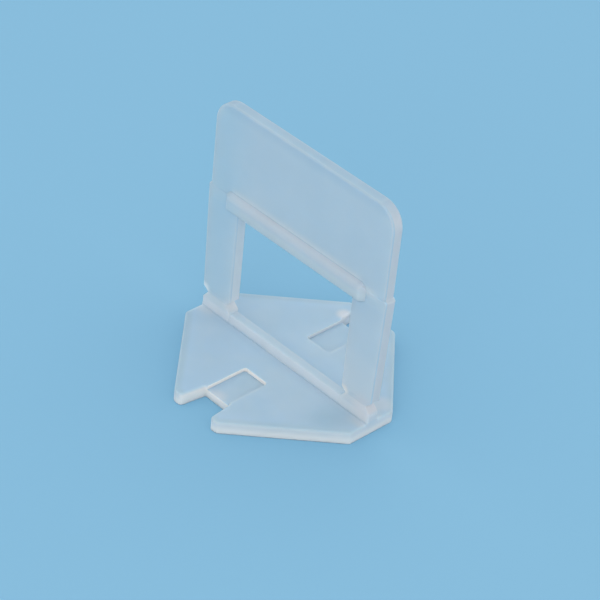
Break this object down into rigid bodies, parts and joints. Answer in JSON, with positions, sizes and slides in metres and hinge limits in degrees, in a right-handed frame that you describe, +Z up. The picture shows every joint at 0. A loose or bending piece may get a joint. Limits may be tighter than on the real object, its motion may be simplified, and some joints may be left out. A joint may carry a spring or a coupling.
{
  "type": "tile leveling clip",
  "caption": "Moulded leveling clip for tiles: a flat base plate with a flared notch in each long side, and an upright tab with a wedge window and break-off necks.",
  "frame": {"origin": "middle of the base plate's underside", "axes": "+Z up the tab, X along the tile joint and the tab's width, Y across the joint, the way the wedge is pushed"},
  "size_m": [0.0412, 0.04, 0.0431],
  "materials": {
    "natural_polypropylene": "uncoloured, milky and slightly translucent, with a fine satin surface"
  },
  "bodies": {
    "root": {"clip": "natural_polypropylene"}
  },
  "joints": []
}
